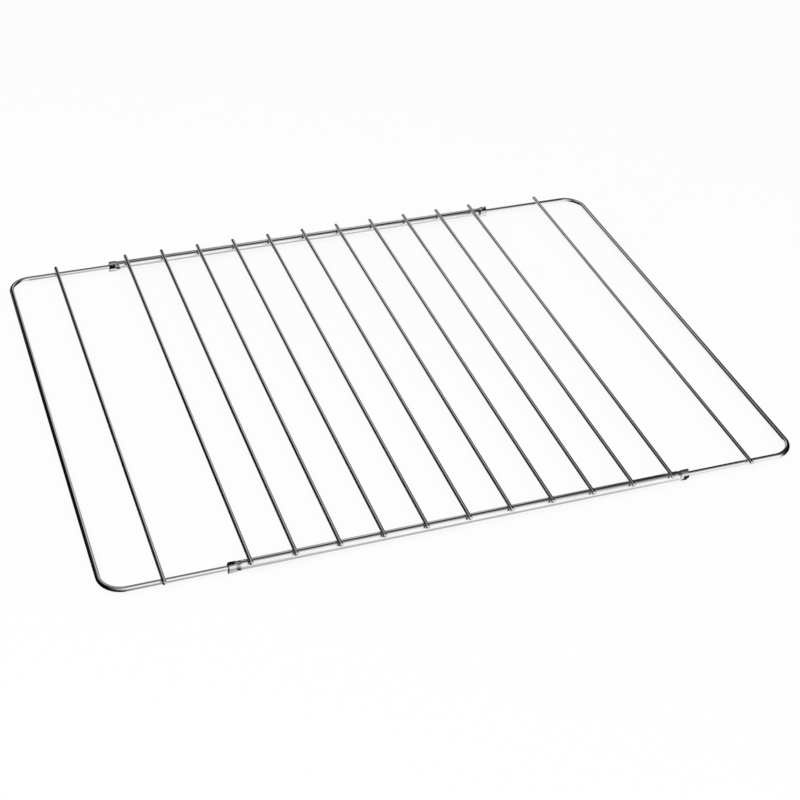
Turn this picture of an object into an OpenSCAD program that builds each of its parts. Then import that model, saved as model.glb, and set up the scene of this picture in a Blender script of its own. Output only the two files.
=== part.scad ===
// Extendable wire cooling rack. Eleven cross wires are welded across two rail
// tubes, and the legs of a U-shaped end frame slide in each end of the tubes.
// X runs along the rails, Y from front to back and Z up. The origin lies under
// the middle of the grid, on the surface that it stands on. Millimetres.

/* [Centre grid] */
// Distance between neighbouring cross wires
wire_pitch = 25; // [20:0.5:30]
// Distance between the axes of the front and the back rail
rail_spacing = 316; // [200:1:380]
// Distance from the outermost cross wire of the grid to the end of a rail
rail_end_margin = 12; // [10:0.5:20]

/* [Cross wires] */
// Diameter of a cross wire
cross_wire_d = 2.4; // [1.8:0.1:3]
// Length of a cross wire past the axis of what it is welded to
cross_wire_overhang = 5; // [3.5:0.5:9]
// Chamfer on the cut ends of a cross wire
cross_wire_chamfer = 0.25; // [0.1:0.05:0.5]
// Depth that a cross wire sinks into its seat when it is welded
weld_sink = 0.2; // [0.1:0.05:0.3]

/* [Rail tubes] */
// Outer diameter of a rail tube
rail_d = 6; // [5.8:0.1:8]
// Wall thickness of a rail tube
rail_wall = 0.6; // [0.4:0.05:0.7]
// Length of the crimped mouth at each end of a rail
crimp_length = 4; // [2.5:0.5:5]
// Length over which the tube changes into its crimped mouth
crimp_taper = 3; // [2:0.5:4]

/* [End frames] */
// Diameter of the wire of an end frame
frame_wire_d = 3; // [2.4:0.1:3.2]
// Radius of a frame's corner at the axis of its wire
corner_r = 13; // [6:0.5:18]
// Distance from the end bar to the cross wire of its frame
bar_to_cross_wire = 32; // [22:1:60]
// Distance that the left end frame stands drawn out of the rails
left_drawn_out = 33.5; // [0:0.5:120]
// Distance that the right end frame stands drawn out of the rails
right_drawn_out = 38; // [0:0.5:120]
// Length of the flattened tip of a leg
tip_length = 5; // [3:0.5:8]
// Length over which a leg changes into its flattened tip
tip_taper = 3; // [2:0.5:5]
// Distance from a leg's tip to the middle of the rail when the frame is in
tip_to_middle = 1.5; // [1:0.5:10]

/* [Clearances] */
// Gap round a leg in its mouth, round its tip in the bore, and at the stop
running_gap = 0.3; // [0.2:0.05:0.35]

/* [Hidden] */
$fn = 64;
cross_wires = 11;

chrome = [0.80, 0.81, 0.83];
// A loft between two sections runs this far into the straight piece at each
// of its ends, and lies this much under that piece's surface
loft_lap = 0.2;
loft_inset = 0.02;

// Rail tube: the round bore narrows to an eye that guides the leg
bore_r = rail_d / 2 - rail_wall;
eye_r = frame_wire_d / 2 + running_gap;
half_rail = (cross_wires - 1) / 2 * wire_pitch + rail_end_margin;
// The tube's wall keeps its length round the section when it is crimped, so
// what the eye does not take up stands out as two flat ears of doubled wall
eye_wall_round = 2 * PI * (eye_r + rail_wall / 2) - 4 * rail_wall;
ear_h = (PI * (rail_d - rail_wall) - eye_wall_round) / 4;
ear_reach = eye_r + rail_wall + ear_h;

// Heights: the ears carry the rack, and the legs run on the tubes' axis
rail_z = ear_reach;
grid_wire_z = rail_z + rail_d / 2 + cross_wire_d / 2 - weld_sink;
frame_wire_z = rail_z + frame_wire_d / 2 + cross_wire_d / 2 - weld_sink;

// End frame, pushed in: its cross wire stops just short of the rails' ends
frame_cross_x = half_rail + cross_wire_d / 2 + running_gap;
bar_x = frame_cross_x + bar_to_cross_wire;
// The flattened tip passes along the bore but not through the eye
tip_w = 2 * (bore_r - running_gap);
tip_h = PI * pow(frame_wire_d / 2, 2) / tip_w;

// Round bar along X from x0 to x1
module bar_x_axis(x0, x1, d) {
    translate([x0, 0, 0]) rotate([0, 90, 0]) cylinder(h = x1 - x0, d = d);
}

// Lays a section drawn in Z (sheet x) and Y (sheet y) along X from x0
module along_x(x0, length) {
    translate([x0, 0, 0]) rotate([0, 90, 0]) linear_extrude(length) children();
}

module crimp_section() {
    circle(r = eye_r + rail_wall);
    square([2 * (ear_reach - rail_wall), 2 * rail_wall], center = true);
    for (side = [-1, 1])
        translate([side * (ear_reach - rail_wall), 0]) circle(r = rail_wall);
}

// One end of a rail from the start of the taper, at x = 0, to the mouth
module crimped_end() {
    difference() {
        union() {
            hull() {
                along_x(-loft_lap, loft_lap, $fn = 32)
                    circle(d = rail_d - 2 * loft_inset);
                along_x(crimp_taper, loft_lap, $fn = 32)
                    offset(delta = -loft_inset) crimp_section();
            }
            along_x(crimp_taper, crimp_length) crimp_section();
        }
        rotate([0, 90, 0]) cylinder(h = crimp_taper, r1 = bore_r, r2 = eye_r);
        bar_x_axis(-1, 0, 2 * bore_r);
        bar_x_axis(crimp_taper, crimp_taper + crimp_length + 1, 2 * eye_r);
    }
}

module rail(y) {
    taper_start = half_rail - crimp_length - crimp_taper;
    color(chrome) translate([0, y, rail_z]) {
        difference() {
            bar_x_axis(-taper_start, taper_start, rail_d);
            bar_x_axis(-half_rail, half_rail, 2 * bore_r);
        }
        translate([taper_start, 0, 0]) crimped_end();
        mirror([1, 0, 0]) translate([taper_start, 0, 0]) crimped_end();
    }
}

// Wire across the rack at (x, z), seated on two round bars of diameter seat_d
// whose axes lie at the height seat_z
module cross_wire(x, z, seat_d, seat_z) {
    half = rail_spacing / 2 + cross_wire_overhang;
    core = half - cross_wire_chamfer;
    end_d = cross_wire_d - 2 * cross_wire_chamfer;
    color(chrome) difference() {
        translate([x, 0, z]) {
            rotate([90, 0, 0]) cylinder(h = 2 * core, d = cross_wire_d, center = true);
            for (turn = [-90, 90])
                rotate([turn, 0, 0]) translate([0, 0, core])
                    cylinder(h = cross_wire_chamfer, d1 = cross_wire_d, d2 = end_d);
        }
        for (side = [-1, 1])
            translate([x, side * rail_spacing / 2, seat_z])
                bar_x_axis(-cross_wire_d, cross_wire_d, seat_d);
    }
}

module grid_wire(i) {
    x = (i - (cross_wires + 1) / 2) * wire_pitch;
    cross_wire(x, grid_wire_z, rail_d, rail_z);
}

// The cross wire and the U of the right-hand frame, pushed in
module frame_cross_wire() {
    cross_wire(frame_cross_x, frame_wire_z, frame_wire_d, rail_z);
}

module tip_section() {
    half_flat = (tip_w - tip_h) / 2;
    square([tip_h, 2 * half_flat], center = true);
    for (side = [-1, 1]) translate([0, side * half_flat]) circle(d = tip_h);
}

// A leg from its flattened tip to the start of the corner, on the axis y = 0
module leg() {
    tip_end = tip_to_middle + tip_length;
    round_start = tip_end + tip_taper;
    along_x(tip_to_middle, tip_length) tip_section();
    hull() {
        along_x(tip_end - loft_lap, loft_lap, $fn = 32)
            offset(delta = -loft_inset) tip_section();
        along_x(round_start, loft_lap, $fn = 32)
            circle(d = frame_wire_d - 2 * loft_inset);
    }
    bar_x_axis(round_start, bar_x - corner_r, frame_wire_d);
}

module end_frame() {
    color(chrome) translate([0, 0, rail_z]) {
        for (side = [-1, 1])
            translate([0, side * rail_spacing / 2, 0]) leg();
        translate([bar_x, 0, 0]) rotate([90, 0, 0])
            cylinder(h = rail_spacing - 2 * corner_r, d = frame_wire_d, center = true);
        for (turn = [[-1, -90], [1, 0]])
            translate([bar_x - corner_r, turn[0] * (rail_spacing / 2 - corner_r), 0])
                rotate([0, 0, turn[1]]) rotate_extrude(angle = 90)
                    translate([corner_r, 0]) circle(d = frame_wire_d);
    }
}

module on_left() {
    mirror([1, 0, 0]) translate([left_drawn_out, 0, 0]) children();
}

module on_right() {
    translate([right_drawn_out, 0, 0]) children();
}

rail(-rail_spacing / 2);  // rail_front
rail(rail_spacing / 2);  // rail_back
for (i = [1:cross_wires])
    grid_wire(i);
on_left() end_frame();  // end_frame_left
on_right() end_frame();  // end_frame_right
on_left() frame_cross_wire();  // frame_cross_wire_left
on_right() frame_cross_wire();  // frame_cross_wire_right
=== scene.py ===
"""Looks of the extendable chrome cooling rack, in metres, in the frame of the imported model.

X runs along the rails, Y from the front rail to the back rail, and Z up from the ground.
"""

import math

import bpy
import numpy as np
from mathutils import Matrix, Vector, noise


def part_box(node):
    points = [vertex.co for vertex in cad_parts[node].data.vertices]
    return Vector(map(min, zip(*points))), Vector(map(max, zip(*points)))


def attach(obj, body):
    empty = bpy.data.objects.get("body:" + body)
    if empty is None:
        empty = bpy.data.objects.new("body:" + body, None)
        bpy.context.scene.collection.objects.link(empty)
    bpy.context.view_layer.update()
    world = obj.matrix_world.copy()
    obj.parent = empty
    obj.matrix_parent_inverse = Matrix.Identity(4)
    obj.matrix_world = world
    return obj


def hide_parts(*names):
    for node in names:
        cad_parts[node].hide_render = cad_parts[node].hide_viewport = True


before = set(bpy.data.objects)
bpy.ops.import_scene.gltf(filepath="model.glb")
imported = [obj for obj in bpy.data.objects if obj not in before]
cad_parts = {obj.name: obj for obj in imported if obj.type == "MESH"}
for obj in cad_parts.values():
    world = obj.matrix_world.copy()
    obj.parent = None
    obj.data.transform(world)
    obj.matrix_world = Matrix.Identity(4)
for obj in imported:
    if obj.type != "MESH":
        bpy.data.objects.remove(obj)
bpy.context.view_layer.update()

MM = 0.001

# --- Sizes that the frame's boxes don't give -------------------------------------------------
RAIL_D = 6.0 * MM
RAIL_WALL = 0.6 * MM
CRIMP_LENGTH = 4.0 * MM
CRIMP_TAPER = 3.0 * MM
FRAME_WIRE_D = 3.0 * MM
CROSS_WIRE_D = 2.4 * MM
CORNER_R = 13.0 * MM
TIP_LENGTH = 5.0 * MM
TIP_TAPER = 3.0 * MM
RUNNING_GAP = 0.3 * MM

BORE_R = RAIL_D / 2 - RAIL_WALL
EYE_R = FRAME_WIRE_D / 2 + RUNNING_GAP
TIP_HALF_W = BORE_R - RUNNING_GAP
TIP_HALF_H = math.pi * (FRAME_WIRE_D / 2) ** 2 / (4 * TIP_HALF_W)

# --- Places, from the frame ------------------------------------------------------------------
rail_low, rail_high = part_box("rail_back")
RAIL_Y = (rail_low.y + rail_high.y) / 2
RAIL_Z = (rail_low.z + rail_high.z) / 2
HALF_RAIL = rail_high.x
EAR_REACH = RAIL_Z - rail_low.z
HALF_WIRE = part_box("cross_wire_1")[1].y
GRID_WIRES = [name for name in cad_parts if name.startswith("cross_wire_")]


def middle(node):
    low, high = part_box(node)
    return (low + high) / 2


# --- Mesh tools ------------------------------------------------------------------------------
TINY = 1e-6


def smoothstep(t):
    t = np.clip(t, 0.0, 1.0)
    return t * t * (3 - 2 * t)


def bell(distance, reach):
    """1 at no distance, falling off to both sides over about reach."""
    return np.exp(-((distance / reach) ** 2))


def ring_angles(count):
    return np.arange(count) * 2 * math.pi / count


class Shell:
    """Gathers closed tubes into one mesh, with a UV map in metres and two masks: haze, and oxide
    with painted dark patches.
    """

    def __init__(self):
        self.points = []
        self.faces = []
        self.uvs = []
        self.haze = []
        self.oxide_and_painted_dark = []
        self.count = 0

    def add_rings(self, rings, haze=None, oxide_and_painted_dark=None, closed=False):
        """rings is rows x columns x 3. closed joins the last ring to the first, without caps."""
        rings = np.asarray(rings, float)
        rows, columns, _ = rings.shape
        around = np.linalg.norm(np.diff(rings, axis=1, append=rings[:, :1]), axis=2)
        around = np.concatenate([np.zeros((rows, 1)), np.cumsum(around, axis=1)], axis=1)
        step = np.linalg.norm(np.diff(rings, axis=0), axis=2).mean(axis=1)
        along = np.concatenate([[0.0], np.cumsum(step)])
        for i in range(rows - 1):
            low = self.count + i * columns
            high = low + columns
            for j in range(columns):
                k = (j + 1) % columns
                self.faces.append((low + j, low + k, high + k, high + j))
                quad = ((i, j), (i, j + 1), (i + 1, j + 1), (i + 1, j))
                self.uvs += [(around[corner], along[corner[0]]) for corner in quad]
        last = self.count + (rows - 1) * columns
        if closed:
            for j in range(columns):
                k = (j + 1) % columns
                self.faces.append((last + j, last + k, self.count + k, self.count + j))
                self.uvs += [(around[0, j], along[0]), (around[0, j + 1], along[0])] * 2
        else:
            for start, turn in ((self.count, -1), (last, 1)):
                self.faces.append(tuple(range(start, start + columns))[::turn])
                self.uvs += [(around[0, j], along[0]) for j in range(columns)]
        self.points.append(rings.reshape(-1, 3))
        self.haze.append(np.zeros(rows * columns) if haze is None else np.ravel(haze))
        self.oxide_and_painted_dark.append(np.zeros(rows * columns) if oxide_and_painted_dark is None else np.ravel(oxide_and_painted_dark))
        self.count += rows * columns

    def build(self, name, material, body, slot, nodes):
        mesh = bpy.data.meshes.new(name)
        mesh.from_pydata(np.concatenate(self.points).tolist(), [], self.faces)
        uv = mesh.uv_layers.new(name="run")
        uv.data.foreach_set("uv", np.asarray(self.uvs, np.float32).ravel())
        for label, values in (("haze", self.haze), ("oxide_and_painted_dark", self.oxide_and_painted_dark)):
            mask = mesh.attributes.new(label, "FLOAT", "POINT")
            mask.data.foreach_set("value", np.concatenate(values).astype(np.float32))
        mesh.polygons.foreach_set("use_smooth", [True] * len(mesh.polygons))
        mesh.materials.append(material)
        mesh.update()
        piece = bpy.data.objects.new(name, mesh)
        bpy.context.scene.collection.objects.link(piece)
        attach(piece, body)
        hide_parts(*nodes)


# --- Wires -----------------------------------------------------------------------------------
WIRE_SIDES = 40
WIRE_ROWS = 90
WIRE_END_ZONE = 2 * MM
DOME_STEPS = 12
DOME_DEPTH_SHARE = 0.42
WIRE_HAZE_REACH = 3.5 * MM


def domed_end_profile(radius, depth):
    """(distance from the end, radius) pairs of a sheared, tumbled and plated wire end."""
    turns = np.linspace(0, math.pi / 2, DOME_STEPS)[1:]
    return [(depth * (1 - math.cos(a)), radius * math.sin(a)) for a in turns]


def straight_wire(shell, x, z, radius, half, weld_y):
    """A wire along Y at (x, z), with domed ends and hazy plating near its welds."""
    ends = domed_end_profile(radius, DOME_DEPTH_SHARE * radius)
    plain = np.linspace(-half + WIRE_END_ZONE, half - WIRE_END_ZONE, WIRE_ROWS)
    rows = [(-half + d, r) for d, r in ends]
    rows += [(y, radius) for y in plain]
    rows += [(half - d, r) for d, r in reversed(ends)]
    angles = ring_angles(WIRE_SIDES)
    ring = np.stack([np.sin(angles), np.zeros(WIRE_SIDES), np.cos(angles)], axis=1)
    rings = [np.array([x, y, z]) + ring * r for y, r in rows]
    y = np.array([row[0] for row in rows])
    near_weld = bell(np.abs(y) - weld_y, WIRE_HAZE_REACH)
    shell.add_rings(rings, haze=np.repeat(near_weld, WIRE_SIDES))


# The lip closes the wedge between wire and seat where it is this high, more or less.
LIP_HEIGHT = 0.30 * MM
LIP_VARIES = 0.10 * MM
LIP_GRAIN = 1.3
LIP_SEED_SHARE = 0.37
LIP_HALVINGS = 30
WEDGE_LIMIT = 0.96
BEAD_SIDES = 40
BEAD_BULGE = 0.14 * MM
BEAD_SUNK = 0.06 * MM
BEAD_FOOT_SPREAD = 1.14
BEAD_FOOT_LIMIT = 0.98
BEAD_CORE_DEPTH = 0.35 * MM
BEAD_TOP_SHARE = 0.55
BEAD_HAZE = 0.6
BEAD_OXIDE = 0.08


def weld_bead(shell, x, y, seat_r, seat_z, wire_r, wire_z, seed):
    """The lip of metal that a resistance weld squeezes out between a wire and its seat."""
    columns = []
    for angle in ring_angles(BEAD_SIDES):
        dx, dy = math.cos(angle), math.sin(angle)
        place = Vector((LIP_GRAIN * dx + seed, LIP_GRAIN * dy, LIP_SEED_SHARE * seed))
        lip = LIP_HEIGHT + LIP_VARIES * noise.noise(place)

        def under_wire(s):
            return wire_z - math.sqrt(max(wire_r**2 - (s * dx) ** 2, 0.0))

        def over_seat(s):
            return seat_z + math.sqrt(max(seat_r**2 - (s * dy) ** 2, 0.0))

        low, high = 0.0, WEDGE_LIMIT * min(wire_r / max(abs(dx), TINY), seat_r / max(abs(dy), TINY))
        for _ in range(LIP_HALVINGS):
            s = (low + high) / 2
            if under_wire(s) - over_seat(s) < lip:
                low = s
            else:
                high = s
        foot = min(BEAD_FOOT_SPREAD * s, BEAD_FOOT_LIMIT * seat_r / max(abs(dy), TINY))
        bottom, top = over_seat(foot), under_wire(s)
        # From the core inside the seat, out under the foot, up the swollen lip, into the wire.
        profile = (
            (0.1 * s, seat_z + seat_r - BEAD_CORE_DEPTH),
            (0.6 * s, over_seat(0.6 * s) - BEAD_SUNK),
            (foot, bottom - 0.3 * BEAD_SUNK),
            (foot * 0.94 + 0.55 * BEAD_BULGE, bottom + 0.30 * (top - bottom)),
            (s + 0.50 * BEAD_BULGE, bottom + 0.75 * (top - bottom)),
            (s, top + 0.3 * BEAD_SUNK),
            (0.1 * s, wire_z - BEAD_TOP_SHARE * wire_r),
        )
        columns.append([(x + reach * dx, y + reach * dy, height) for reach, height in profile])
    rings = np.array(columns).transpose(1, 0, 2)
    everywhere = np.ones(rings.shape[:2])
    shell.add_rings(rings, haze=BEAD_HAZE * everywhere, oxide_and_painted_dark=BEAD_OXIDE * everywhere)


# --- Rail tubes ------------------------------------------------------------------------------
EAR_ROOT = 0.9 * MM
SEAM_HALF = 0.05 * MM
SEAM_FLOOR = 0.25 * MM
MOUTH_LIP = 0.12 * MM
MOUTH_ZONE = 0.3 * MM
MOUTH_FACE = 0.10 * MM
RAIL_TAPER_ZONE = 1 * MM
LIP_ROWS = 4
CRIMP_ROWS = 14
RAIL_TAPER_ROWS = 9
HALF_RAIL_ROWS = 60
RAIL_HAZE_REACH = 2.6 * MM
PINCH_MARGIN = 0.5 * MM
PINCH_FADE = 1.5 * MM
PATCH_FADE = 1.0 * MM
BARE_STEEL = 0.8
# A quarter of the way round, from an ear's middle: from and to in degrees, and how many points.
QUARTER_PARTS = ((0, 12, 13), (13.5, 30, 10), (35, 90, 12))


def crimp_angles():
    """Angles from straight up, closer together round the two ears, which point up and down."""
    quarter = np.radians(np.concatenate([np.linspace(*part) for part in QUARTER_PARTS]))
    half = np.concatenate([quarter, math.pi - quarter[-2::-1]])
    return np.concatenate([half, 2 * math.pi - half[-2:0:-1]])


def from_ear(angle):
    """The angle to the nearer one of the two ears."""
    return np.abs(((angle + math.pi / 2) % math.pi) - math.pi / 2)


def ear_radius(angle):
    """Outline of the crimped mouth: the eye's wall, with a flat ear of doubled wall up and down."""
    tilt = from_ear(angle)
    eye = np.full_like(tilt, EYE_R + RAIL_WALL)
    tip_centre = EAR_REACH - RAIL_WALL
    across = tip_centre * np.sin(tilt)
    on_tip = np.sqrt(np.maximum(RAIL_WALL**2 - across**2, 0.0)) + tip_centre * np.cos(tilt)
    on_side = RAIL_WALL / np.maximum(np.sin(tilt), TINY)
    ear = np.where(on_side * np.cos(tilt) > tip_centre, on_tip, on_side)
    blend = np.clip(0.5 + 0.5 * (ear - eye) / EAR_ROOT, 0.0, 1.0)
    fillet = EAR_ROOT * blend * (1 - blend) * (np.abs(ear - eye) < EAR_ROOT)
    return eye * (1 - blend) + ear * blend + fillet


def slit_radius(angle):
    """Inner outline of the mouth: the round eye, with the seam between the walls of each ear."""
    deep = EAR_REACH - RAIL_WALL - SEAM_FLOOR
    slit = np.minimum(SEAM_HALF / np.maximum(np.sin(from_ear(angle)), TINY), deep)
    return np.maximum(EYE_R, slit)


def rail_rings(outer):
    """Rings of the tube's outer or inner face, from its mouth at +X to the one at -X."""
    angles = crimp_angles()
    round_r = RAIL_D / 2 if outer else BORE_R
    mouth_r = ear_radius(angles) if outer else slit_radius(angles)
    crimp_end = HALF_RAIL - CRIMP_LENGTH
    round_end = crimp_end - CRIMP_TAPER - RAIL_TAPER_ZONE
    lip_turns = np.linspace(math.pi / 2, 0, LIP_ROWS)
    taper_shares = np.linspace(0, 1, RAIL_TAPER_ROWS)[1:]
    stations = [
        (HALF_RAIL - MOUTH_LIP * (1 - math.sin(a)), MOUTH_LIP * (1 - math.cos(a)), 1.0)
        for a in lip_turns
    ]
    stations += [(x, 0.0, 1.0) for x in np.linspace(HALF_RAIL - MOUTH_ZONE, crimp_end, CRIMP_ROWS)]
    stations += [(crimp_end - CRIMP_TAPER * t, 0.0, 1 - smoothstep(t)) for t in taper_shares]
    stations += [(x, 0.0, 0.0) for x in np.linspace(round_end, 0, HALF_RAIL_ROWS)]
    stations += [(-x, inset, share) for x, inset, share in stations[-2::-1]]
    sign = -1 if outer else 1
    rings = []
    for x, inset, share in stations:
        r = round_r * (1 - share) + mouth_r * share + sign * inset
        rings.append(np.stack([np.full_like(r, x), r * np.sin(angles), r * np.cos(angles)], axis=1))
    return np.array(rings)


def rail(y, dark_patches):
    """A rail tube. burns lists the dark patches painted near the crimped mouths: the end,
    the lowest and highest point from the tube's axis, how far back from the mouth, how deep.
    The wide ones of part depth over the upper ears are painted reflection, carrying the dark band
    on the tube's top over the ear; the ones of full depth are black patches."""
    outer = rail_rings(True)
    rings = np.concatenate([outer, rail_rings(False)[::-1]])
    x = rings[:, :, 0]
    z = rings[:, :, 2]
    haze = np.zeros(x.shape)
    for wire in GRID_WIRES:
        haze = np.maximum(haze, bell(x - middle(wire).x, RAIL_HAZE_REACH))
    haze *= smoothstep(z / (RAIL_D / 2))
    pinch_start = HALF_RAIL - CRIMP_LENGTH - CRIMP_TAPER - PINCH_MARGIN
    haze = np.maximum(haze, smoothstep((np.abs(x) - pinch_start) / PINCH_FADE))
    # The dark patches painted at the crimped mouths, then the bare steel of the mouth faces and
    # bore, in one mask.
    oxide_and_painted_dark = np.zeros(x.shape)
    for end, low, high, reach, depth in dark_patches:
        level = smoothstep((z - low) / PATCH_FADE + 0.5) * smoothstep((high - z) / PATCH_FADE + 0.5)
        near = smoothstep((end * x - HALF_RAIL + reach) / PATCH_FADE + 0.5)
        oxide_and_painted_dark = np.maximum(oxide_and_painted_dark, depth * near * level)
    oxide_and_painted_dark = np.maximum(oxide_and_painted_dark, BARE_STEEL * (np.abs(x) > HALF_RAIL - MOUTH_FACE))
    oxide_and_painted_dark[len(outer):] = BARE_STEEL
    shell = Shell()
    shell.add_rings(rings + np.array([0, y, RAIL_Z]), haze=haze, oxide_and_painted_dark=oxide_and_painted_dark, closed=True)
    return shell


# --- End frames ------------------------------------------------------------------------------
FRAME_SIDES = 48
TIP_EDGE = (0.0, 0.06 * MM, 0.25 * MM, 1.0 * MM, 3.0 * MM)
TIP_EDGE_SCALE = {0: 0.55, 1: 0.85, 2: 0.97}
LEG_TAPER_ZONE = 1 * MM
TIP_TAPER_ROWS = 9
LEG_ROWS = 40
CORNER_ROWS = 29
HALF_BAR_ROWS = 40
# A superellipse's power, in the round wire and what the flattened tip has more of it.
ROUND_POWER = 2
FLAT_POWER = 1.2
FRAME_HAZE_REACH = 3 * MM
FRAME_HAZE_LEVEL = 0.3
TIP_OXIDE = 0.25


def frame_path(side, tip_x, bar_x):
    """Stations (point, direction, share of flattening) along one end frame, from leg to leg."""
    corner_x = bar_x - CORNER_R
    tip_end = tip_x + TIP_LENGTH
    leg_start = tip_end + TIP_TAPER + LEG_TAPER_ZONE
    taper_shares = np.linspace(0, 1, TIP_TAPER_ROWS)
    leg = [(tip_x + d, 1.0) for d in TIP_EDGE]
    leg += [(tip_end + TIP_TAPER * t, 1 - float(smoothstep(t))) for t in taper_shares]
    leg += [(x, 0.0) for x in np.linspace(leg_start, corner_x, LEG_ROWS)]
    half = [(Vector((x, -RAIL_Y)), Vector((1, 0)), flat) for x, flat in leg]
    centre = Vector((corner_x, -RAIL_Y + CORNER_R))
    for turn in np.linspace(0, math.pi / 2, CORNER_ROWS)[1:]:
        out = Vector((math.sin(turn), -math.cos(turn)))
        half.append((centre + out * CORNER_R, Vector((math.cos(turn), math.sin(turn))), 0.0))
    bar = np.linspace(-RAIL_Y + CORNER_R, 0, HALF_BAR_ROWS)[1:]
    half += [(Vector((bar_x, y)), Vector((0, 1)), 0.0) for y in bar]
    back = [(Vector((p.x, -p.y)), Vector((-d.x, d.y)), flat) for p, d, flat in half[-2::-1]]
    return [(Vector((side * p.x, p.y)), Vector((side * d.x, d.y)), f) for p, d, f in half + back]


def squarer(values, power):
    """Turns a circle's sines or cosines into those of a superellipse."""
    return np.sign(values) * np.abs(values) ** (2 / power)


def end_frame(side, name, wire_name):
    low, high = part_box(name)
    tip_x, bar_x = (low.x, high.x) if side > 0 else (-high.x, -low.x)
    bar_x -= FRAME_WIRE_D / 2
    z0 = (low.z + high.z) / 2
    weld_x = abs(middle(wire_name).x)
    radius = FRAME_WIRE_D / 2
    angles = ring_angles(FRAME_SIDES)
    cosines, sines = np.cos(angles), np.sin(angles)
    stations = frame_path(side, tip_x, bar_x)
    rings, haze, oxide_and_painted_dark = [], [], []
    for i, (point, direction, flat) in enumerate(stations):
        across = Vector((-direction.y, direction.x))
        power = ROUND_POWER + FLAT_POWER * flat
        scale = TIP_EDGE_SCALE.get(min(i, len(stations) - 1 - i), 1.0)
        w = (radius * (1 - flat) + TIP_HALF_W * flat) * scale * squarer(cosines, power)
        h = (radius * (1 - flat) + TIP_HALF_H * flat) * scale * squarer(sines, power)
        rings.append(np.stack([point.x + across.x * w, point.y + across.y * w, z0 + h], axis=1))
        on_leg = abs(abs(point.y) - RAIL_Y) < radius
        near_weld = bell(abs(point.x) - weld_x, FRAME_HAZE_REACH) if on_leg else 0.0
        haze.append(near_weld * smoothstep(FRAME_HAZE_LEVEL + sines))
        oxide_and_painted_dark.append(np.full(FRAME_SIDES, TIP_OXIDE * flat))
    shell = Shell()
    shell.add_rings(rings, haze=haze, oxide_and_painted_dark=oxide_and_painted_dark)
    return shell


# --- Materials -------------------------------------------------------------------------------
def node_tree(name):
    material = bpy.data.materials.new(name)
    material.use_nodes = True
    tree = material.node_tree
    tree.nodes.clear()
    return material, tree


def fill(tree, socket, value):
    """Links an input to another node's output, or sets its value."""
    if isinstance(value, bpy.types.NodeSocket):
        tree.links.new(value, socket)
    else:
        socket.default_value = value


def add(tree, kind, settings=None, **sockets):
    """Adds a node, sets its properties from settings, and fills inputs by name or as i0, i1."""
    node = tree.nodes.new(kind)
    for key, value in (settings or {}).items():
        setattr(node, key, value)
    for key, value in sockets.items():
        by_index = key[0] == "i" and key[1:].isdigit()
        fill(tree, node.inputs[int(key[1:]) if by_index else key.replace("_", " ")], value)
    return node


def noise_of(tree, vector, cells, detail, roughness):
    """Cloud noise round 0.5, with so many cells per metre along each axis."""
    place = add(tree, "ShaderNodeMapping", Vector=vector, Scale=cells).outputs[0]
    node = add(
        tree, "ShaderNodeTexNoise", Vector=place, Scale=1.0, Detail=detail, Roughness=roughness
    )
    return node.outputs["Fac"]


def remap(tree, value, low, high, to_low, to_high):
    node = add(tree, "ShaderNodeMapRange", i0=value, i1=low, i2=high, i3=to_low, i4=to_high)
    return node.outputs[0]


def maths(tree, operation, a, b):
    return add(tree, "ShaderNodeMath", {"operation": operation}, i0=a, i1=b).outputs[0]


def mix_colour(tree, share, a, b):
    return add(tree, "ShaderNodeMix", {"data_type": "RGBA"}, i0=share, i6=a, i7=b).outputs[2]


def mix_value(tree, share, a, b):
    return add(tree, "ShaderNodeMix", i0=share, i2=a, i3=b).outputs[0]


def show(tree, shader):
    output = add(tree, "ShaderNodeOutputMaterial")
    tree.links.new(shader.outputs[0], output.inputs["Surface"])


# Settings for noise_of: cells per metre, detail, roughness.
DRAW_NOISE = ((9000, 60, 1), 4.0, 0.55)
PEEL_NOISE = ((900, 900, 900), 2.0, 0.55)
SMUDGE_NOISE = ((38, 38, 38), 4.0, 0.6)
PIT_NOISE = ((2600, 2600, 2600), 3.0, 0.7)
# Ranges for remap: from low, from high, to low, to high. The last goes to each chrome's own range.
PITS_TO_CLOUD = (0.35, 0.65, 0.35, 1.0)
PITS_TO_RAGGED = (0.40, 0.60, -0.45, 0.45)
RAGGED_TO_GRIME_AND_PAINTED_DARK = (0.10, 0.60, 0.0, 1.0)
SMUDGE_TO_DULL = (0.35, 0.68, 0.0, 1.0)
SMUDGE_TO_ROUGH = (0.30, 0.72)
HAZE_TONE = (0.62, 0.62, 0.63, 1)
HAZE_COVER = 0.35
OXIDE_AND_PAINTED_DARK_TONE = (0.006, 0.006, 0.006, 1)
SMUDGE_ROUGHNESS = 0.07
HAZE_ROUGHNESS = 0.22
OXIDE_ROUGHNESS = 0.35
MARK_HEIGHT = 0.00002
PEEL_HEIGHT = 0.00003
PEEL_STRENGTH = 0.12
PIT_HEIGHT = 0.00006
PIT_STRENGTH = 0.5


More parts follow.
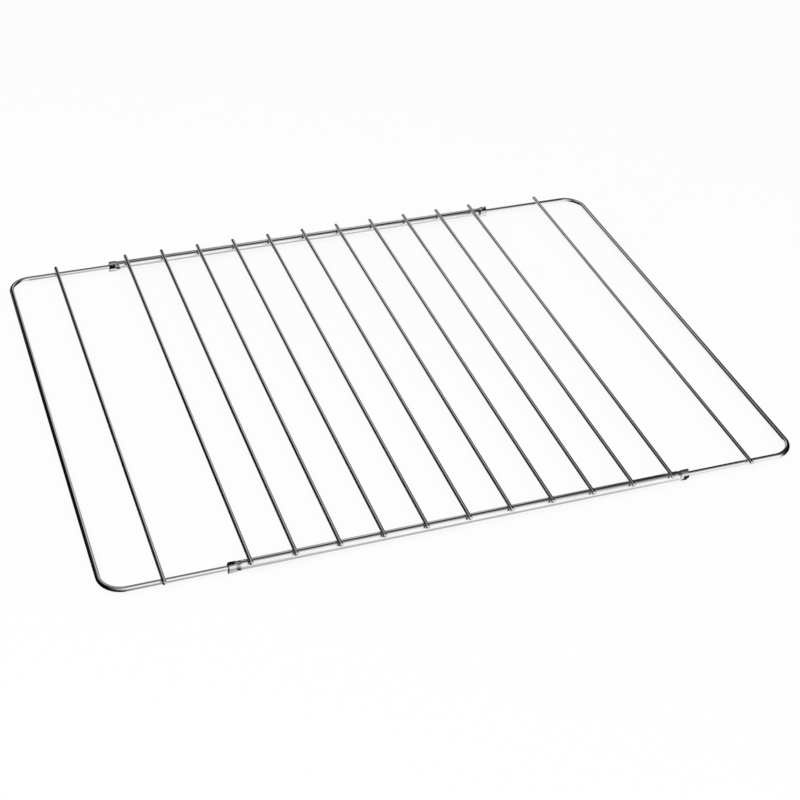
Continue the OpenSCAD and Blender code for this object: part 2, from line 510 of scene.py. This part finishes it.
def chrome(name, clean, dull, draw_marks, polish):
    """Plated steel: drawing marks along the run, orange peel, smudges, weld haze, dark oxide, and
    the dark patches painted at the rails' mouths.

    draw_marks is the strength of the lines along the wire, and polish its least roughness.
    """
    material, tree = node_tree(name)
    run = add(tree, "ShaderNodeUVMap", {"uv_map": "run"}).outputs[0]
    place = add(tree, "ShaderNodeTexCoord").outputs["Object"]
    haze = add(tree, "ShaderNodeAttribute", {"attribute_name": "haze"}).outputs["Fac"]
    oxide_and_painted_dark = add(tree, "ShaderNodeAttribute", {"attribute_name": "oxide_and_painted_dark"}).outputs["Fac"]

    lines = noise_of(tree, run, *DRAW_NOISE)
    peel = noise_of(tree, place, *PEEL_NOISE)
    smudge = noise_of(tree, place, *SMUDGE_NOISE)
    pits = noise_of(tree, place, *PIT_NOISE)

    cloud = maths(tree, "MULTIPLY", haze, remap(tree, pits, *PITS_TO_CLOUD))
    ragged = maths(tree, "ADD", oxide_and_painted_dark, remap(tree, pits, *PITS_TO_RAGGED))
    grime_and_painted_dark = maths(tree, "MULTIPLY", oxide_and_painted_dark, remap(tree, ragged, *RAGGED_TO_GRIME_AND_PAINTED_DARK))
    tone = mix_colour(tree, remap(tree, smudge, *SMUDGE_TO_DULL), clean, dull)
    tone = mix_colour(tree, maths(tree, "MULTIPLY", cloud, HAZE_COVER), tone, HAZE_TONE)
    # Near black where the oxide mask is high: oxide at welds and tips, bare steel at the rails'
    # mouth faces and bores, and the dark patches painted at the rails' mouths, partly painted
    # reflection.
    tone = mix_colour(tree, grime_and_painted_dark, tone, OXIDE_AND_PAINTED_DARK_TONE)

    rough = remap(tree, smudge, *SMUDGE_TO_ROUGH, polish, polish + SMUDGE_ROUGHNESS)
    rough = maths(tree, "ADD", rough, maths(tree, "MULTIPLY", cloud, HAZE_ROUGHNESS))
    rough = maths(tree, "ADD", rough, maths(tree, "MULTIPLY", grime_and_painted_dark, OXIDE_ROUGHNESS))

    skin = add(
        tree, "ShaderNodeBump", Strength=draw_marks, Distance=MARK_HEIGHT, Height=lines
    ).outputs[0]
    worn = maths(tree, "MULTIPLY", pits, maths(tree, "ADD", cloud, grime_and_painted_dark))
    for strength, distance, height in (
        (PEEL_STRENGTH, PEEL_HEIGHT, peel),
        (PIT_STRENGTH, PIT_HEIGHT, worn),
    ):
        skin = add(
            tree, "ShaderNodeBump", Strength=strength, Distance=distance, Height=height, Normal=skin
        ).outputs[0]

    show(tree, add(
        tree, "ShaderNodeBsdfPrincipled",
        Base_Color=tone, Metallic=1.0, Roughness=rough, Normal=skin,
    ))
    return material


WIRE_CHROME = chrome(
    "wire_chrome",
    clean=(0.90, 0.905, 0.915, 1), dull=(0.80, 0.805, 0.82, 1), draw_marks=0.35, polish=0.05,
)
FRAME_CHROME = chrome(
    "frame_chrome",
    clean=(0.91, 0.915, 0.925, 1), dull=(0.82, 0.825, 0.84, 1), draw_marks=0.25, polish=0.04,
)
RAIL_CHROME = chrome(
    "rail_chrome",
    clean=(0.92, 0.925, 0.935, 1), dull=(0.84, 0.845, 0.855, 1), draw_marks=0.15, polish=0.06,
)


# --- The rack's pieces -----------------------------------------------------------------------
GRID_SEED_STEP = 3.0
FRAME_SEED = 50
FRAME_SEED_STEP = 5.0


def cross_wire(node, seat_r, body, seed):
    place = middle(node)
    radius = CROSS_WIRE_D / 2
    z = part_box(node)[1].z - radius
    shell = Shell()
    straight_wire(shell, place.x, z, radius, HALF_WIRE, RAIL_Y)
    for side in (-1, 1):
        weld_bead(shell, place.x, side * RAIL_Y, seat_r, RAIL_Z, radius, z, seed + side)
    shell.build(node + "_chrome", WIRE_CHROME, body, "wire_chrome", [node])


for index, node in enumerate(sorted(GRID_WIRES)):
    cross_wire(node, RAIL_D / 2, "grid", GRID_SEED_STEP * index)
for index, (side, side_name) in enumerate(((-1, "left"), (1, "right"))):
    node = "frame_cross_wire_" + side_name
    body = side_name + "_frame"
    cross_wire(node, FRAME_WIRE_D / 2, body, FRAME_SEED + FRAME_SEED_STEP * index)
    frame_node = "end_frame_" + side_name
    end_frame(side, frame_node, node).build(
        frame_node + "_chrome", FRAME_CHROME, body, "frame_chrome", [frame_node]
    )

# Beyond the tube, so that a painted dark patch has no limit there.
BEYOND = 9 * MM
# Dark patches painted at the crimped mouths. Those of part depth, reaching 7 mm or more over the
# upper ears, are painted reflection of the dark band on the tube's top; those of full depth are
# black patches.
FRONT_DARK_PATCHES = [
    (-1, 2.1 * MM, BEYOND, 4.0 * MM, 1.0),
    (-1, 2.2 * MM, BEYOND, 7.5 * MM, 0.7),
    (-1, -BEYOND, BEYOND, 0.5 * MM, 1.0),
    (1, -BEYOND, 1.0 * MM, 3.6 * MM, 1.0),
    (1, 2.2 * MM, BEYOND, 7.0 * MM, 0.92),
]
BACK_DARK_PATCHES = [
    (-1, -0.3 * MM, 2.0 * MM, 4.2 * MM, 1.0),
    (-1, 2.5 * MM, BEYOND, 7.0 * MM, 0.7),
    (1, 1.7 * MM, 3.4 * MM, 3.4 * MM, 1.0),
    (1, 2.6 * MM, BEYOND, 7.0 * MM, 0.6),
]
rail(-RAIL_Y, FRONT_DARK_PATCHES).build(
    "rail_front_chrome", RAIL_CHROME, "grid", "rail_chrome", ["rail_front"]
)
rail(RAIL_Y, BACK_DARK_PATCHES).build(
    "rail_back_chrome", RAIL_CHROME, "grid", "rail_chrome", ["rail_back"]
)


# --- Camera ----------------------------------------------------------------------------------
VIEW_HEADING = math.radians(20.84)
VIEW_DROP = math.radians(36.26)
VIEW_ROLL = math.radians(2.47)
VIEW_AIM = Vector((0.0031, -0.0367, 0.0))
VIEW_DISTANCE = 1.0188
SENSOR_MM = 36
LENS_MM = 74.8
CLIP_START = 0.01


def make_camera():
    """Stands in front, to the left and above, with its sensor turned a little."""
    forward = Vector((
        math.sin(VIEW_HEADING) * math.cos(VIEW_DROP),
        math.cos(VIEW_HEADING) * math.cos(VIEW_DROP),
        -math.sin(VIEW_DROP),
    ))
    level = forward.cross(Vector((0, 0, 1))).normalized()
    upward = level.cross(forward)
    right = level * math.cos(VIEW_ROLL) + upward * math.sin(VIEW_ROLL)
    up = upward * math.cos(VIEW_ROLL) - level * math.sin(VIEW_ROLL)
    data = bpy.data.cameras.new("camera")
    data.sensor_width = SENSOR_MM
    data.lens = LENS_MM
    data.clip_start = CLIP_START
    camera = bpy.data.objects.new("camera", data)
    bpy.context.scene.collection.objects.link(camera)
    turn = Matrix((right, up, -forward)).transposed().to_4x4()
    camera.matrix_world = Matrix.Translation(VIEW_AIM - forward * VIEW_DISTANCE) @ turn
    bpy.context.scene.camera = camera


# --- Floor, studio and light -----------------------------------------------------------------
WHITE = (1, 1, 1, 1)
FLOOR_HALF = 40.0
FLOOR_Z = -0.00005
FLOOR_NOISE = ((3, 3, 3), 3.0, 0.55)
FLOOR_TONES = ((0.93, 0.93, 0.93, 1), (0.95, 0.95, 0.95, 1))
FLOOR_ROUGHNESS = 0.9
FLOOR_SPECULAR = 0.1
# How much plain white is mixed into the floor: for the camera, and for mirrors and glass.
FLOOR_WHITE_SEEN = 0.86
FLOOR_WHITE_SHOWN = 0.25
WORLD_LIGHT = 0.72
LAMP_SIZE = (1.6, 1.2)
LAMP_WATTS = 14
LAMP_PLACE = (-0.6, -0.9, 1.6)


def make_floor():
    mesh = bpy.data.meshes.new("floor")
    half = FLOOR_HALF
    corners = [(-half, -half, 0), (half, -half, 0), (half, half, 0), (-half, half, 0)]
    mesh.from_pydata(corners, [], [(0, 1, 2, 3)])
    floor = bpy.data.objects.new("floor", mesh)
    floor.location.z = FLOOR_Z
    bpy.context.scene.collection.objects.link(floor)
    material, tree = node_tree("white_sweep")
    place = add(tree, "ShaderNodeTexCoord").outputs["Object"]
    tone = mix_colour(tree, noise_of(tree, place, *FLOOR_NOISE), *FLOOR_TONES)
    surface = add(tree, "ShaderNodeBsdfPrincipled", Base_Color=tone, Roughness=FLOOR_ROUGHNESS)
    surface.inputs["Specular IOR Level"].default_value = FLOOR_SPECULAR
    white = add(tree, "ShaderNodeEmission", Color=WHITE, Strength=1.0)
    rays = add(tree, "ShaderNodeLightPath").outputs
    seen = maths(tree, "MULTIPLY", rays["Is Camera Ray"], FLOOR_WHITE_SEEN)
    shown = maths(tree, "MAXIMUM", rays["Is Glossy Ray"], rays["Is Transmission Ray"])
    share = maths(tree, "MAXIMUM", seen, maths(tree, "MULTIPLY", shown, FLOOR_WHITE_SHOWN))
    mix = add(tree, "ShaderNodeMixShader", i0=share, i1=surface.outputs[0], i2=white.outputs[0])
    show(tree, mix)
    mesh.materials.append(material)
    # In the chrome, the white lower half of the tent stands in for the floor.
    floor.visible_glossy = False


def make_world():
    """Soft even light, and plain white wherever the camera sees past the floor."""
    world = bpy.data.worlds.new("studio")
    world.use_nodes = True
    bpy.context.scene.world = world
    tree = world.node_tree
    tree.nodes.clear()
    rays = add(tree, "ShaderNodeLightPath").outputs
    seen = maths(tree, "MAXIMUM", rays["Is Camera Ray"], rays["Is Glossy Ray"])
    seen = maths(tree, "MAXIMUM", seen, rays["Is Transmission Ray"])
    lit = add(tree, "ShaderNodeBackground", Color=WHITE, Strength=WORLD_LIGHT)
    white = add(tree, "ShaderNodeBackground", Color=WHITE, Strength=1.0)
    mix = add(tree, "ShaderNodeMixShader", i0=seen, i1=lit.outputs[0], i2=white.outputs[0])
    output = add(tree, "ShaderNodeOutputWorld")
    tree.links.new(mix.outputs[0], output.inputs["Surface"])


def make_softbox():
    """A lamp in front, to the left and above, aimed at the origin. The chrome doesn't mirror it."""
    data = bpy.data.lights.new("softbox", "AREA")
    data.shape = "RECTANGLE"
    data.size, data.size_y = LAMP_SIZE
    data.energy = LAMP_WATTS
    lamp = bpy.data.objects.new("softbox", data)
    bpy.context.scene.collection.objects.link(lamp)
    lamp.location = LAMP_PLACE
    lamp.rotation_euler = (-lamp.location).to_track_quat("-Z", "Y").to_euler()
    lamp.visible_glossy = False


# What the chrome mirrors, as laid over one another on a white tent: the way each card lies from
# the rack (heading right of straight back, rise above level), how far its full tone reaches from
# its middle, how wide its soft edge is, all in degrees, and its tone.
CARDS = {
    "grey_back": (10, 5, 5, 45, 0.3),
    "black_low_left": (-105, -5, 60, 25, 0.004),
    "black_left": (-25, 30, 15, 20, 0.004),
    "black_right": (80, 5, 40, 20, 0.004),
    "black_overhead": (100, 70, 25, 40, 0.02),
    "white_front": (175, 35, 0, 65, 1.05),
    "grey_low_front": (165, -30, 10, 25, 0.5),
    "dark_front_right": (125, 35, 0, 20, 0.1),
}
TENT_RADIUS = 0.7
TENT_TONE = 1.05
TENT_BELTS = 32
TENT_SIDES = 64


def tent_mesh():
    """A sphere round the frame's origin: its two poles, then rings of points from low to high."""
    points = [(0.0, 0.0, -TENT_RADIUS), (0.0, 0.0, TENT_RADIUS)]
    for i in range(1, TENT_BELTS):
        rise = math.radians(-90 + 180 * i / TENT_BELTS)
        flat, height = TENT_RADIUS * math.cos(rise), TENT_RADIUS * math.sin(rise)
        points += [
            (flat * math.cos(a), flat * math.sin(a), height) for a in ring_angles(TENT_SIDES)
        ]
    faces = []
    top = len(points) - TENT_SIDES
    for j in range(TENT_SIDES):
        k = (j + 1) % TENT_SIDES
        faces += [(0, 2 + k, 2 + j), (1, top + j, top + k)]
        for low in range(2, top, TENT_SIDES):
            high = low + TENT_SIDES
            faces.append((low + j, low + k, high + k, high + j))
    mesh = bpy.data.meshes.new("tent")
    mesh.from_pydata(points, [], faces)
    return mesh


def make_tent():
    """The photographer's tent of cards, which only reflections see."""
    mesh = tent_mesh()
    tent = bpy.data.objects.new("tent", mesh)
    bpy.context.scene.collection.objects.link(tent)
    material, tree = node_tree("tent_cards")
    place = add(tree, "ShaderNodeTexCoord").outputs["Object"]
    way = add(tree, "ShaderNodeVectorMath", {"operation": "NORMALIZE"}, i0=place).outputs[0]
    tone = TENT_TONE
    for heading, rise, core, edge, card_tone in CARDS.values():
        heading, rise = math.radians(heading), math.radians(rise)
        card_way = (
            math.sin(heading) * math.cos(rise),
            math.cos(heading) * math.cos(rise),
            math.sin(rise),
        )
        dot = add(tree, "ShaderNodeVectorMath", {"operation": "DOT_PRODUCT"}, i0=way, i1=card_way)
        apart = maths(tree, "ARCCOSINE", dot.outputs["Value"], 0.0)
        core, rim = math.radians(core), math.radians(core + edge)
        share = add(
            tree, "ShaderNodeMapRange", {"interpolation_type": "SMOOTHSTEP"},
            i0=apart, i1=rim, i2=core, i3=0.0, i4=1.0,
        ).outputs[0]
        tone = mix_value(tree, share, tone, card_tone)
    show(tree, add(tree, "ShaderNodeEmission", Color=WHITE, Strength=tone))
    mesh.materials.append(material)
    for kind in ("camera", "diffuse", "transmission", "volume_scatter", "shadow"):
        setattr(tent, "visible_" + kind, False)


make_camera()
make_floor()
make_world()
make_softbox()
make_tent()
bpy.context.scene.view_settings.view_transform = "Standard"
